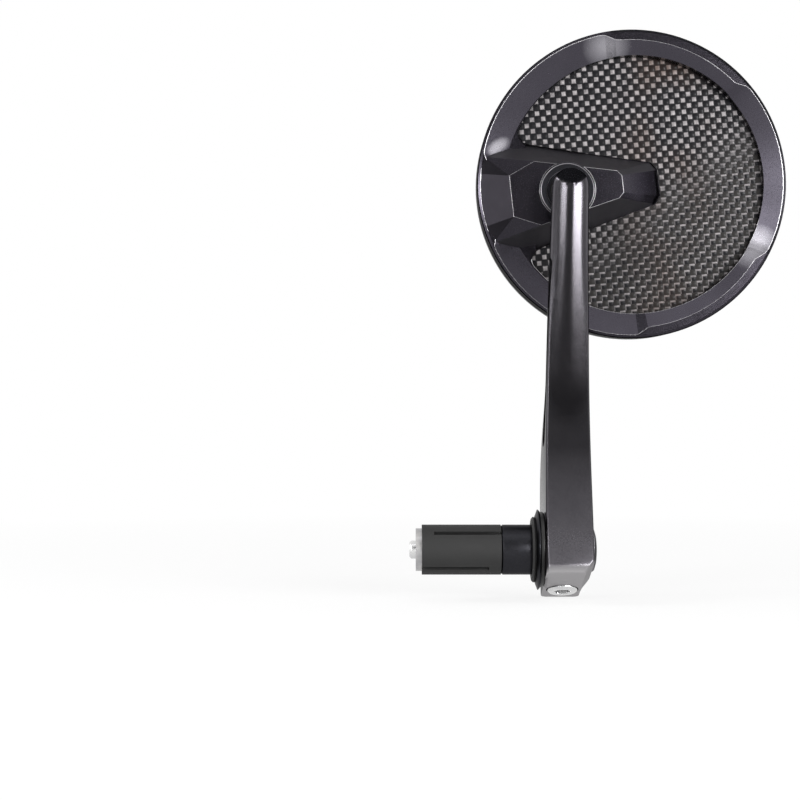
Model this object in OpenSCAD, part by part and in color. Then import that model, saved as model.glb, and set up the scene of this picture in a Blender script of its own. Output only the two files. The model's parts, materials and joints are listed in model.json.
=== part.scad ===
// Bar end mirror: a round head on a swept arm, clamped to a plug in the handlebar's end.
// X points outboard along the bar, Z points up, and the glass faces +Y.
// The origin is on the bar's axis, at the end face of the bar.

/* [Head] */
// Outer diameter of the head
head_d = 108.6; // [100:0.2:116]
// Depth of the machined shell from its rim face to the bezel
shell_t = 12.6; // [12.2:0.1:14]
// Distance from the ball's centre to the head's centre
head_offset = 23; // [20:0.2:25]
// Turn of the head about the ball at rest, in degrees
head_roll = 6.4; // [0:0.1:15]
// Depth of the recess from the rim face to the weave
recess_depth = 7.5; // [7:0.1:8]
// Thickness of the floor behind the weave
floor_t = 2.8; // [2.7:0.1:3.2]
// Width of the rounding round the rim's outer edge
rim_round = 1.1; // [0.6:0.1:1.6]

/* [Lobes] */
// Width of the flat rim outside the plain chamfer
rim_land = 3.7; // [3:0.1:4.5]
// Width of the flat rim left outside a lobe
lobe_land = 1.2; // [0.9:0.1:2]
// Fall of the chamfer for each millimetre inwards
chamfer_fall = 0.72; // [0.6:0.02:0.8]
// Width of the ring from the head's edge to the recess
ring_w = 8.7; // [8:0.1:10]
// Shift of the recess away from the boss
recess_shift = 1.5; // [0:0.1:2]
// Half angle of the lobe opposite the boss
lobe_half = 35.5; // [30:0.5:40]
// Angle from the boss at which each side lobe starts
side_lobe_from = 16; // [14:0.5:18]
// Angle from the boss at which each side lobe ends
side_lobe_to = 88; // [80:1:95]
// Angle over which a lobe blends into the plain chamfer
lobe_blend = 6; // [4:0.5:10]

/* [Boss] */
// Height of the boss above the rim face
boss_rise = 3.5; // [3:0.1:4]
// Distance of the boss's heel from the head's edge
heel_in = 7.3; // [7:0.1:8]
// Radius of the rounded corners of the recess beside the boss
corner_r = 4; // [2:0.5:5]

/* [Weave] */
// Thickness of the carbon panel
weave_t = 1; // [0.8:0.1:1.2]
// Width of one tow of the weave
tow_w = 3.9; // [3:0.1:6]
// Height of the ridges of the weave
ridge_h = 0.12; // [0.08:0.01:0.2]
// Turn of the weave against the head, in degrees
weave_turn = 1; // [-10:1:10]

/* [Glass] */
// Thickness of the mirror glass
glass_t = 2.5; // [2:0.1:3]
// Thickness of the pad that the glass is bonded to
pad_t = 1.1; // [0.8:0.1:1.4]
// Width of the bezel's lip over the glass
lip_w = 1.6; // [1:0.1:2.5]
// Thickness of the bezel's lip
lip_t = 1; // [0.8:0.1:1.4]
// Thickness of the gasket between glass and lip
gasket_t = 0.3; // [0.2:0.1:0.5]
// Thickness of the shell's wall round the pad
shell_wall = 3.4; // [3:0.1:4]

/* [Ball joint] */
// Diameter of the ball
ball_d = 12; // [11:0.2:12.4]
// Thickness of the plastic liner round the ball
liner_t = 0.8; // [0.6:0.1:1]
// Outer diameter of the socket seat
seat_d = 17.2; // [16.4:0.1:17.6]
// Outer diameter of the retaining ring
ring_d = 19.6; // [19:0.1:20.4]
// Diameter of the retaining ring's opening
ring_bore_d = 14.2; // [14:0.1:15]
// Depth of the retaining ring
ring_t = 2.1; // [1.8:0.1:2.2]
// Depth of the ball's centre below the boss face
ball_depth = 5.6; // [5.5:0.1:6]
// Diameter of the neck between ball and arm
neck_d = 6.4; // [6:0.1:7]
// Thickness of the wave washer's wire
wave_t = 0.4; // [0.3:0.1:0.6]
// Height of the wave washer, crest to crest
wave_h = 0.8; // [0.6:0.1:1]
// Thickness of the thrust disc behind the seat
thrust_t = 0.8; // [0.6:0.1:1]
// Radial clearance of every turning fit
fit = 0.05; // [0.03:0.01:0.08]
// Diameter of the stud's thread in the arm
stud_thread_d = 5; // [4:0.5:5]
// Length of the stud's thread in the arm
stud_thread_l = 6; // [4:0.5:6.5]
// Depth of the flat spot that the stud's lock washer sits on
spot_depth = 0.3; // [0.2:0.1:0.6]
// Thickness of the lock washer under the neck
lock_washer_t = 1; // [0.6:0.1:1.4]
// Diameter of the lock washer
lock_washer_d = 9.4; // [8.5:0.1:10]

/* [Arm] */
// Height of the ball's centre above the bar's axis
arm_rise = 122.8; // [115:0.2:140]
// Lean of the arm at its foot, in degrees
arm_lean = 21; // [15:0.5:24]
// Gap between the arm and the boss face
arm_gap = 10; // [9:0.1:13]
// Distance of the arm's outboard face from the bar's end
arm_out = 19.7; // [19.5:0.1:21]
// Distance that the arm's top stands outboard of its foot
arm_splay = 1.7; // [0:0.1:3]
// Width of the arm at its top
top_w = 12.3; // [11:0.1:13]
// Width of the arm at its foot
foot_w = 15.7; // [15.5:0.1:16.2]
// Depth of the arm at its top
top_depth = 9; // [8.6:0.1:10]
// Depth of the foot in front of the bar's axis
foot_front = 14.4; // [13.5:0.1:16]
// Depth of the foot behind the bar's axis
foot_back = 18.6; // [18:0.1:20]
// Depth of the foot below the bar's axis
foot_drop = 11.3; // [11:0.1:13]
// Narrowing of the foot's outboard side towards its back
foot_taper = 3; // [0:0.1:4]
// Width of the bevel under the foot's outboard side
foot_bevel = 3; // [1:0.1:3.2]
// Bow of the arm's front face at its top
top_bow = 2.6; // [1:0.1:3]
// Slope of the facet at the arm's top end, in degrees
tip_slope = 42; // [30:1:55]
// Depth of the lightening pocket in the inboard side, at its upper end
pocket_depth = 1.6; // [1:0.1:3]
// Width of the lightening pocket
pocket_w = 4.6; // [3:0.1:5]
// Height of the lower end of the pocket above the bar's axis
pocket_low = 36; // [34:1:50]
// Height of the upper end of the pocket above the bar's axis
pocket_high = 96; // [70:1:100]

/* [Clamp] */
// Diameter of the stub that the arm turns on
stub_d = 13; // [12.8:0.1:13.4]
// Length of the stub from the bar's end
stub_l = 15.8; // [15.4:0.1:16]
// Distance of the pinch screw behind the bar's axis
pinch_back = 8.4; // [8.3:0.1:8.8]
// Distance of the pinch screw from the bar's end
pinch_x = 10.6; // [10.4:0.1:11]
// Diameter of the pinch screw's thread
pinch_d = 6; // [5:0.5:6]
// Diameter of the pinch screw's head
pinch_head_d = 10; // [9:0.1:10]
// Height of the pinch screw's head
pinch_head_h = 6; // [5:0.1:6]
// Part of the pinch screw's head that stands proud
pinch_proud = 0.9; // [0.4:0.1:2]
// Length of the pinch screw below its head
pinch_l = 16; // [12:1:16]
// Width of the slit that the pinch screw closes
slit_w = 1.5; // [1:0.1:2]
// Diameter of the end cap
cap_d = 14.6; // [14.2:0.2:17]
// Height of the end cap above the arm
cap_h = 1.8; // [1.6:0.1:2.4]

/* [Bar plug] */
// Diameter of the plug, for the bore of the bar
plug_d = 16.5; // [15:0.1:18]
// Step down of the plug under the rubber washer
plug_step = 0.3; // [0.2:0.1:0.5]
// Length of the spigot inside the bar
spigot_l = 10; // [8:0.5:12]
// Width of the flange beyond the plug
flange_w = 5; // [4.4:0.1:5.6]
// Thickness of the flange
flange_t = 1.5; // [1.4:0.1:1.6]
// Width of the cone on the flange's inboard side
flange_cone = 2.4; // [2:0.1:3]
// Thickness of the rubber washer
rubber_t = 1.1; // [0.8:0.1:1.2]
// Thickness of the friction washer
friction_t = 1.2; // [1:0.1:1.3]
// Length of the split expander sleeve
sleeve_l = 26; // [20:1:30]
// Wall of the expander sleeve
sleeve_wall = 3; // [2.6:0.1:3.2]
// Number of slits in the sleeve
sleeve_slits = 4; // [3:1:6]
// Length of the cones that open the sleeve
cone_l = 9; // [8:0.5:10]
// Diameter of the bar bolt's thread
bolt_d = 6; // [5:0.5:6]
// Diameter of the bar bolt's head
bolt_head_d = 10; // [9:0.1:10]
// Height of the bar bolt's head
bolt_head_h = 3.2; // [3:0.1:3.3]
// Thickness of the bolt's washer
bolt_washer_t = 0.8; // [0.6:0.1:0.9]

/* [Hidden] */
$fn = 96;
over = 0.5;
seat_gap = 0.1;

// Places worked out from the dimensions
ball_r = ball_d / 2;
liner_r = ball_r + fit + liner_t;
seat_r = seat_d / 2;
ball_x = arm_out + arm_splay - top_w / 2;
bend_r = arm_rise / sin(arm_lean);
sweep_y = bend_r * (1 - cos(arm_lean));
ball_y = sweep_y + top_depth / 2 - spot_depth + arm_gap + ball_depth;
face_z = boss_rise - ball_depth;
head_r = head_d / 2;
arm_inner = arm_out - foot_w;
flange_d = plug_d + 2 * flange_w;

// Depths inside the head, measured from the rim face
floor_back = recess_depth + weave_t + floor_t;
glass_z = floor_back + pad_t;
glass_back = glass_z + glass_t;
bezel_back = glass_back + gasket_t + lip_t;
glass_r = head_r - shell_wall - 0.6;

black = [0.09, 0.09, 0.1];
satin_black = [0.13, 0.13, 0.14];
steel = [0.72, 0.72, 0.74];
zinc = [0.55, 0.56, 0.58];
rubber = [0.05, 0.05, 0.05];
white_plastic = [0.85, 0.84, 0.8];

// A shaft or hole along X from x0 to x1
module along_x(x0, x1, d) {
    translate([x0, 0, 0])
        rotate([0, 90, 0])
            cylinder(d = d, h = x1 - x0);
}

// A solid of revolution about X, from points of [radius, x]
module turned_x(points) {
    rotate([0, 90, 0])
        rotate_extrude()
            polygon(points);
}

// Children move to the ball's centre, with their own z pointing away from the rider's front
module at_ball() {
    translate([ball_x, ball_y, arm_rise])
        rotate([-90, 0, 0])
            children();
}

// Children move to the head's frame: x from the ball to the head's centre, z = 0 on the rim face
module at_head() {
    at_ball()
        rotate([0, 0, -head_roll])
            translate([0, 0, face_z])
                children();
}

// Children move to the foot's frame, whose z follows the leaning arm
module at_foot() {
    rotate([-arm_lean, 0, 0])
        children();
}

/* Bar plug */
module mount_stub() {
    x_face = rubber_t;
    groove_r = pinch_back - pinch_d / 2 - seat_gap;
    groove_half = pinch_d / 2 + 0.2;
    color(satin_black)
        difference() {
            turned_x([[0, -spigot_l], [plug_d / 2 - 0.5, -spigot_l], [plug_d / 2, -spigot_l + 0.5],
                      [plug_d / 2, 0], [plug_d / 2 - plug_step, 0], [plug_d / 2 - plug_step, x_face],
                      [flange_d / 2 - flange_cone, x_face], [flange_d / 2, x_face + 0.9],
                      [flange_d / 2, x_face + flange_t - 0.5], [flange_d / 2 - 0.5, x_face + flange_t],
                      [stub_d / 2, x_face + flange_t], [stub_d / 2, pinch_x - groove_half],
                      [groove_r, pinch_x - groove_half], [groove_r, pinch_x + groove_half],
                      [stub_d / 2, pinch_x + groove_half], [stub_d / 2, stub_l - 0.4],
                      [stub_d / 2 - 0.4, stub_l], [0, stub_l]]);
            along_x(-spigot_l - over, stub_l + over, bolt_d + 0.4);
        }
}

module rubber_washer() {
    bore_r = plug_d / 2 - plug_step;
    rubber_r = flange_d / 2 - flange_cone;
    color(rubber)
        turned_x([[bore_r, plug_step], [plug_d / 2 + seat_gap, 0], [rubber_r - 0.6, 0],
                  [rubber_r, rubber_t / 2], [rubber_r - 0.3, rubber_t], [bore_r, rubber_t]]);
}

module friction_washer() {
    x0 = rubber_t + flange_t;
    color(white_plastic)
        difference() {
            along_x(x0, x0 + friction_t, flange_d - 1.6);
            along_x(x0 - over, x0 + friction_t + over, stub_d);
        }
}

module bar_bolt() {
    x0 = stub_l + bolt_washer_t;
    tip = -spigot_l - sleeve_l - 2 * seat_gap - 4;
    color(steel)
        difference() {
            turned_x([[0, tip], [bolt_d / 2 - 0.6, tip], [bolt_d / 2, tip + 0.6], [bolt_d / 2, x0],
                      [bolt_head_d / 2, x0], [bolt_head_d / 2, x0 + bolt_head_h - 0.5],
                      [bolt_head_d / 2 - 0.5, x0 + bolt_head_h], [0, x0 + bolt_head_h]]);
            translate([x0 + bolt_head_h - 2, 0, 0])
                rotate([0, 90, 0])
                    cylinder(d = 4.6, h = 2 + over, $fn = 6);
        }
}

module bolt_washer() {
    color(zinc)
        difference() {
            along_x(stub_l, stub_l + bolt_washer_t, bolt_head_d + 0.6);
            along_x(stub_l - over, stub_l + bolt_washer_t + over, bolt_d + 0.4);
        }
}

// Radius of an expander cone at a distance from its thick end
function cone_r(x) = plug_d / 2 - 1.2 - x * (sleeve_wall - 1.4) / cone_l;

sleeve_out = -spigot_l - seat_gap;
sleeve_in = sleeve_out - sleeve_l;

module outer_cone() {
    x0 = sleeve_out + 0.02;
    color(zinc)
        difference() {
            turned_x([[0, x0 - cone_l], [cone_r(cone_l), x0 - cone_l], [cone_r(0), x0], [0, x0]]);
            along_x(x0 - cone_l - over, x0 + over, bolt_d + 0.4);
        }
}

module inner_cone() {
    x0 = sleeve_in;
    color(zinc)
        difference() {
            turned_x([[0, x0 - 2], [cone_r(0), x0 - 2], [cone_r(0), x0], [cone_r(cone_l), x0 + cone_l],
                      [0, x0 + cone_l]]);
            along_x(x0 - 2 - over, x0 + cone_l + over, bolt_d);
        }
}

module expander_sleeve() {
    wall_in = fit + 0.02;
    color(rubber)
        difference() {
            turned_x([[plug_d / 2, sleeve_in], [plug_d / 2, sleeve_out], [cone_r(0) + wall_in, sleeve_out],
                      [cone_r(cone_l) + wall_in, sleeve_out - cone_l],
                      [cone_r(cone_l) + wall_in, sleeve_in + cone_l],
                      [cone_r(0) + wall_in, sleeve_in]]);
            for (i = [0 : sleeve_slits - 1])
                rotate([i * 360 / sleeve_slits + 45, 0, 0])
                    translate([i % 2 == 0 ? sleeve_in - over : sleeve_in + 4, 0, -0.7])
                        cube([sleeve_l - 4 + over, plug_d, 1.4]);
        }
}

/* Arm */
arm_len = bend_r * arm_lean * PI / 180;
tip_len = arm_len + top_w / 2;
rings = 40;
side_points = 9;
taper_from = 14;
taper_to = 62;

function mix(a, b, t) = a + (b - a) * t;
function smooth(t) = let (c = min(1, max(0, t))) c * c * (3 - 2 * c);

// Share of the foot's shape that is left at a length s along the arm
function foot_share(s) = 1 - smooth((s + foot_drop) / (taper_to + foot_drop));
function half_w(s) = let (w = mix(top_w, foot_w, pow(1 - max(0, s) / tip_len, 0.9)) / 2)
    s > arm_len ? sqrt(max(0.04, pow(top_w / 2, 2) - pow(s - arm_len, 2))) : w;
function front_d(s) = mix(top_depth / 2 + 0.9 * (1 - s / tip_len), foot_front, pow(foot_share(s), 1.25));
function back_d(s) = mix(top_depth / 2 + 0.9 * (1 - s / tip_len), foot_back, pow(foot_share(s), 1.6));
function bow(s) = mix(0.35, top_bow, smooth((s - 30) / (arm_len - 45)));
function tip_cut(s) = max(0, s - arm_len - 0.4) * tan(tip_slope);
function bevel(s) = let (top = cap_d / 2 + 0.3)
    foot_bevel * pow(min(1, max(0, -s - top) / (foot_drop - top)), 1.2);
function foot_edge(s) = let (d = s + foot_drop) d < 2.5 ? 2.5 - sqrt(max(0, 6.25 - pow(2.5 - d, 2))) : 0;

// Lean of the arm at a length s, and the place of its centre line
function lean(s) = arm_lean * (1 - min(arm_len, max(0, s)) / arm_len);
function line_y(s) = s < 0 ? s * sin(arm_lean) : bend_r * (cos(lean(s)) - cos(arm_lean));
function line_z(s) = s < 0 ? s * cos(arm_lean)
    : bend_r * (sin(arm_lean) - sin(lean(s))) + max(0, s - arm_len);

// Spread of the heel towards the bar, which keeps its back corner upright above the hub
function heel(s) = (centre_x(s) - half_w(s) - arm_inner) * (1 - smooth((s - 20) / 40));

// Outline of one section: [x, distance behind the centre line]
function section(s) =
    let (w = half_w(s), f = front_d(s) - foot_edge(s), b = back_d(s) - 0.5 * foot_edge(s),
         bw = bow(s) * w / (top_w / 2), e = mix(0.8, 1.2, foot_share(s)) * min(1, w / 3),
         we = w - 0.55 * e, be = 1.6 * min(1, w / 3), mid = min(cap_d / 2 + 0.4, b - be - 0.5),
         cut = bevel(s), r = w - max(cut, foot_taper * pow(foot_share(s), 2)), l = w + heel(s),
         side = -max(f - max(bw, tip_cut(s)) - e, -b + 0.9))
    concat([for (i = [0 : side_points - 1])
                let (u = -1 + 2 * i / (side_points - 1))
                [u * we - cut * (1 + u) / 2, -max(f - max(bw * u * u, tip_cut(s)), -b + 1)]],
           [[w - cut, side], [w - cut, mid], [r, b - be], [r - 0.3 * be, b - 0.3 * be], [r - be, b],
            [-l + be, b], [-l + 0.3 * be, b - 0.3 * be], [-l, b - be], [-w, side]]);

section_n = side_points + 9;
function centre_x(s) = let (c = max(0, min(s, arm_len))) arm_out + arm_splay * c / arm_len - half_w(c);
ring_s = [for (i = [0 : rings]) let (t = i / rings)
          t < 0.15 ? mix(-foot_drop, -foot_drop + 3, t / 0.15)
          : t < 0.75 ? mix(-foot_drop + 3, arm_len - 4, (t - 0.15) / 0.6)
          : mix(arm_len - 4, tip_len - 0.05, pow((t - 0.75) / 0.25, 0.8))];

// One ring of points in space
function ring_points(s) = [for (p = section(s))
    [centre_x(s) + p[0], line_y(s) + p[1] * cos(lean(s)), line_z(s) - p[1] * sin(lean(s))]];

module arm_body() {
    n = section_n;
    points = [for (s = ring_s) each ring_points(s)];
    faces = concat(
        [[for (j = [0 : n - 1]) j]],
        [for (i = [0 : rings - 1]) for (j = [0 : n - 1])
            [i * n + j, (i + 1) * n + j, (i + 1) * n + (j + 1) % n, i * n + (j + 1) % n]],
        [[for (j = [n - 1 : -1 : 0]) rings * n + j]]);
    polyhedron(points, faces, convexity = 4);
}

// The hub that reaches from the arm's foot to the friction washer
module foot_hub() {
    x0 = rubber_t + flange_t + friction_t + seat_gap;
    turned_x([[0, x0], [flange_d / 2 - 1.2, x0], [flange_d / 2 - 0.4, arm_inner + 0.8], [0, arm_inner + 0.8]]);
}

// Lean of the arm at a height above the bar's axis
function lean_at(z) = asin(sin(arm_lean) - z / bend_r);

// Slot along the arm's bend, cut into its inboard side
module pocket() {
    floor_x = centre_x(pocket_high) - half_w(pocket_high) + pocket_depth;
    translate([0, -bend_r * cos(arm_lean), arm_rise])
        rotate([0, 90, 0]) {
            rotate([0, 0, 90 - lean_at(pocket_low)])
                rotate_extrude(angle = lean_at(pocket_low) - lean_at(pocket_high))
                    translate([bend_r - pocket_w / 2, 0])
                        square([pocket_w, floor_x]);
            for (z = [pocket_low, pocket_high])
                rotate([0, 0, 90 - lean_at(z)])
                    translate([bend_r, 0, 0])
                        cylinder(d = pocket_w, h = floor_x);
        }
}

module arm() {
    head_z = -foot_drop - pinch_proud + pinch_head_h;
    color(black)
        difference() {
            union() {
                arm_body();
                foot_hub();
            }
            along_x(0, arm_out + over, stub_d + 2 * fit);
            along_x(arm_out, arm_out + cap_h, cap_d + over);
            pocket();
            at_foot() {
                // Slit behind the stub, and the hole of the screw that closes it
                translate([0, 0, -slit_w / 2])
                    cube([arm_out + over, foot_back + 2 * over, slit_w]);
                translate([pinch_x, pinch_back, -foot_drop - over])
                    cylinder(d = pinch_head_d + 0.7, h = foot_drop + over + head_z);
                translate([pinch_x, pinch_back, -foot_drop])
                    cylinder(d = pinch_d + 0.3, h = foot_drop + slit_w);
                translate([pinch_x, pinch_back, 0])
                    cylinder(d = pinch_d, h = head_z + pinch_l + over);
            }
            // Flat spot and blind thread of the ball's stud
            at_ball()
                translate([0, 0, -ball_depth - arm_gap]) {
                    cylinder(d = lock_washer_d + over, h = lock_washer_t);
                    translate([0, 0, -stud_thread_l - over])
                        cylinder(d = stud_thread_d, h = stud_thread_l + 2 * over);
                }
        }
}

module pinch_screw() {
    head_z = -foot_drop - pinch_proud;
    under = head_z + pinch_head_h;
    screw_r = pinch_head_d / 2;
    color(steel)
        at_foot()
            translate([pinch_x, pinch_back, 0])
                difference() {
                    rotate_extrude()
                        polygon([[0, head_z], [screw_r - 0.6, head_z], [screw_r, head_z + 0.6],
                                 [screw_r, under], [pinch_d / 2, under], [pinch_d / 2, under + pinch_l - 0.6],
                                 [pinch_d / 2 - 0.6, under + pinch_l], [0, under + pinch_l]]);
                    translate([0, 0, head_z - over])
                        cylinder(d = 5.8, h = 3 + over, $fn = 6);
                }
}

module end_cap() {
    bore_r = stub_d / 2 + fit;
    inner_r = bolt_head_d / 2 + 0.5;
    x_in = stub_l + bolt_washer_t + 0.6;
    x_top = arm_out + cap_h;
    color(black)
        turned_x([[inner_r, x_in], [bore_r, x_in], [bore_r, arm_out], [cap_d / 2, arm_out],
                  [cap_d / 2, arm_out + 0.5], [cap_d / 2 - 0.5, arm_out + 0.9],
                  [cap_d * 0.33, x_top - 0.3], [cap_d * 0.18, x_top - 0.05], [0, x_top],
                  [0, x_top - 1], [inner_r, x_top - 1.3]]);
}

/* Ball joint */
module ball_stud() {
    neck_end = -ball_depth - arm_gap + lock_washer_t;
    tip = neck_end - lock_washer_t - stud_thread_l;
    neck_angle = asin(neck_d / ball_d) - 90;
    color(steel)
        at_ball()
            rotate_extrude()
                polygon(concat(
                    [[0, tip], [stud_thread_d / 2, tip], [stud_thread_d / 2, neck_end],
                     [neck_d / 2 + 1, neck_end], [neck_d / 2 + 1, neck_end + 2], [neck_d / 2, neck_end + 2.6]],
                    [for (i = [0 : 24])
                        let (a = mix(neck_angle, 90, i / 24)) [ball_r * cos(a), ball_r * sin(a)]]));
}

module stud_lock_washer() {
    z0 = -ball_depth - arm_gap;
    color(zinc)
        at_ball()
            translate([0, 0, z0])
                difference() {
                    cylinder(d = lock_washer_d, h = lock_washer_t);
                    translate([0, 0, -over])
                        cylinder(d = stud_thread_d, h = lock_washer_t + 2 * over);
                }
}

liner_front = -3.9;
module ball_liner() {
    color(white_plastic)
        at_ball()
            difference() {
                sphere(r = liner_r);
                sphere(r = ball_r + fit);
                translate([0, 0, -liner_r - over])
                    cylinder(r = liner_r, h = liner_r + over + liner_front);
            }
}

seat_front = -ball_depth + ring_t + 0.02;
seat_back = liner_r + fit - 0.6;
module socket_seat() {
    color(satin_black)
        at_ball()
            difference() {
                translate([0, 0, seat_front])
                    cylinder(r = seat_r, h = seat_back - seat_front);
                sphere(r = liner_r + fit);
            }
}

thrust_z = liner_r + fit;
module thrust_disc() {
    color(steel)
        at_ball()
            translate([0, 0, thrust_z])
                cylinder(r = seat_r - 0.3, h = thrust_t);
}

// A ring with three crests that presses the thrust disc forward
module wave_washer() {
    z0 = thrust_z + thrust_t;
    steps = 48;
    r_out = seat_r - 0.6;
    r_in = seat_r - 2.8;
    rise = wave_h - wave_t;
    points = [for (i = [0 : steps - 1])
        let (a = i * 360 / steps, z = z0 + rise * (0.5 + 0.5 * cos(3 * a)))
        each [[r_in * cos(a), r_in * sin(a), z], [r_out * cos(a), r_out * sin(a), z],
              [r_out * cos(a), r_out * sin(a), z + wave_t], [r_in * cos(a), r_in * sin(a), z + wave_t]]];
    faces = [for (i = [0 : steps - 1]) for (j = [0 : 3])
        let (k = (i + 1) % steps, m = (j + 1) % 4)
        [4 * i + j, 4 * i + m, 4 * k + m, 4 * k + j]];
    color(zinc)
        at_ball()
            polyhedron(points, faces, convexity = 4);
}

pocket_back = thrust_z + thrust_t + wave_h;

module retaining_ring() {
    color(satin_black)
        at_ball()
            translate([0, 0, -ball_depth])
                rotate_extrude()
                    polygon([[ring_d / 2 - 0.6, 0], [ring_d / 2, 0.5], [ring_d / 2, ring_t],
                             [ring_bore_d / 2, ring_t], [ring_bore_d / 2, ring_t - 0.5],
                             [ring_d / 2 - 1, 0.25]]);
}

/* Head */
angle_steps = 180;

// Smooth window that is 1 between two angles and 0 outside them
function window(a, from, to) =
    smooth((a - from) / lobe_blend + 0.5) * (1 - smooth((a - to) / lobe_blend + 0.5));

// Share of a lobe at an angle from the axis that points away from the boss
function lobe(a) = let (b = abs(a > 180 ? a - 360 : a))
    window(b, -lobe_half, lobe_half) + window(180 - b, side_lobe_from, side_lobe_to);
function chamfer_r(a) = head_r - mix(rim_land, lobe_land, lobe(a));

// Funnel that cuts the chamfer and its three lobes
module funnel() {
    deep = recess_depth - 1.5;
    n = angle_steps;
    levels = [-1, deep];
    points = concat(
        [for (z = levels) for (i = [0 : n - 1])
            let (a = i * 360 / n, r = chamfer_r(a) - z / chamfer_fall)
            [r * cos(a), r * sin(a), z]],
        [[0, 0, -1], [0, 0, deep]]);
    faces = concat(
        [for (i = [0 : n - 1]) [i, n + i, n + (i + 1) % n, (i + 1) % n]],
        [for (i = [0 : n - 1]) [2 * n, i, (i + 1) % n]],
        [for (i = [0 : n - 1]) [2 * n + 1, n + (i + 1) % n, n + i]]);
    polyhedron(points, faces, convexity = 6);
}

// Points of the boss, given for one side and mirrored, as [x from the ball, y] in the head's frame
boss_top = [[-19.7, 7.2], [-10.5, 11.2], [17.7, 4.8], [19.4, 3]];
boss_foot = [[-12.5, 18.8], [8.5, 13.2], [31.4, 7.4], [33.4, 4.6]];
boss_rim = [[-30.6, 9.8], [-27.5, 15.2]];
boss_heel = [head_offset - head_r + heel_in, boss_foot[0][1] + 0.2];

function both_sides(points) =
    concat(points, [for (i = [len(points) - 1 : -1 : 0]) [points[i][0], -points[i][1]]]);

module slab(points, z, h) {
    translate([0, 0, z])
        linear_extrude(height = h)
            polygon(both_sides(points));
}

module boss() {
    thin = 0.01;
    hull() {
        slab(boss_top, -boss_rise, thin);
        slab([[-head_offset - 9, boss_rim[0][1]], boss_rim[1]], 0.5, thin);
        slab(concat([boss_heel], boss_foot), recess_depth + weave_t + 0.2, thin);
    }
}

// Outline of the recess: a circle less the boss, with rounded corners
module recess_outline() {
    offset(r = corner_r)
        offset(delta = -corner_r)
            difference() {
                translate([head_offset + recess_shift, 0])
                    circle(r = head_r - ring_w);
                polygon(both_sides(concat([boss_heel + [-2, 1]], boss_foot)));
            }
}

module head_shell() {
    color(black)
        difference() {
            union() {
                at_head()
                    difference() {
                        translate([head_offset, 0, 0])
                            rotate_extrude()
                                polygon([[0, 0], [head_r - rim_round, 0],
                                         [head_r - 0.3 * rim_round, 0.3 * rim_round],
                                         [head_r, rim_round], [head_r, shell_t], [0, shell_t]]);
                        translate([head_offset, 0, 0])
                            funnel();
                        translate([0, 0, 1])
                            linear_extrude(height = recess_depth + weave_t - 1) {
                                recess_outline();
                                polygon(both_sides(boss_foot));
                            }
                    }
                at_head()
                    intersection() {
                        boss();
                        translate([head_offset, 0, -boss_rise - over])
                            cylinder(r = head_r - rim_round, h = shell_t + boss_rise);
                    }
            }
            at_head()
                translate([head_offset, 0, floor_back])
                    cylinder(r = head_r - shell_wall, h = shell_t);
            // Stepped bore of the ball joint, from the boss face to the spring's floor
            at_ball() {
                translate([0, 0, -ball_depth - over])
                    cylinder(d = ring_d, h = ring_t + over);
                translate([0, 0, -ball_depth])
                    cylinder(r = seat_r + fit, h = ball_depth + pocket_back);
            }
        }
}

// Carbon panel with its weave standing as ridges along one set of tows
module weave_panel() {
    span = 2 * (head_r - ring_w);
    rows = ceil(span / tow_w);
    color([0.2, 0.19, 0.19])
        at_head()
            union() {
                translate([0, 0, recess_depth + ridge_h])
                    linear_extrude(height = weave_t - ridge_h)
                        offset(delta = -seat_gap)
                            recess_outline();
                translate([0, 0, recess_depth])
                    linear_extrude(height = 2 * ridge_h)
                        intersection() {
                            offset(delta = -seat_gap)
                                recess_outline();
                            translate([head_offset, 0])
                                rotate(weave_turn)
                                    for (i = [-rows / 2 : rows / 2])
                                        translate([-span / 2 - 4, i * tow_w - tow_w / 4])
                                            square([span + 8, tow_w / 2]);
                        }
            }
}

module backing_pad() {
    color(rubber)
        at_head()
            translate([head_offset, 0, floor_back])
                cylinder(r = glass_r - 2, h = pad_t);
}

module mirror_glass() {
    color([0.75, 0.8, 0.85])
        at_head()
            translate([head_offset, 0, glass_z])
                cylinder(r = glass_r, h = glass_t);
}

module glass_gasket() {
    color(rubber)
        at_head()
            translate([head_offset, 0, glass_back])
                difference() {
                    cylinder(r = glass_r, h = gasket_t);
                    translate([0, 0, -over])
                        cylinder(r = glass_r - lip_w + 0.4, h = gasket_t + 2 * over);
                }
}

module glass_bezel() {
    back = bezel_back;
    color(black)
        at_head()
            translate([head_offset, 0, 0])
                rotate_extrude()
                    polygon([[head_r, shell_t], [head_r, back - 1], [head_r - 0.3, back - 0.3],
                             [head_r - 1, back], [glass_r - lip_w + 0.6, back], [glass_r - lip_w, back - lip_t],
                             [glass_r + seat_gap, back - lip_t], [glass_r + seat_gap, shell_t]]);
}

mount_stub();
rubber_washer();
friction_washer();
bar_bolt();
bolt_washer();
outer_cone();
expander_sleeve();
inner_cone();
arm();
pinch_screw();
end_cap();
ball_stud();
stud_lock_washer();
ball_liner();
socket_seat();
thrust_disc();
wave_washer();
retaining_ring();
head_shell();
weave_panel();
backing_pad();
mirror_glass();
glass_gasket();
glass_bezel();
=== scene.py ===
import json
import math

import bmesh
import bpy
from mathutils import Matrix, Vector
from mathutils.geometry import delaunay_2d_cdt

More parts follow.
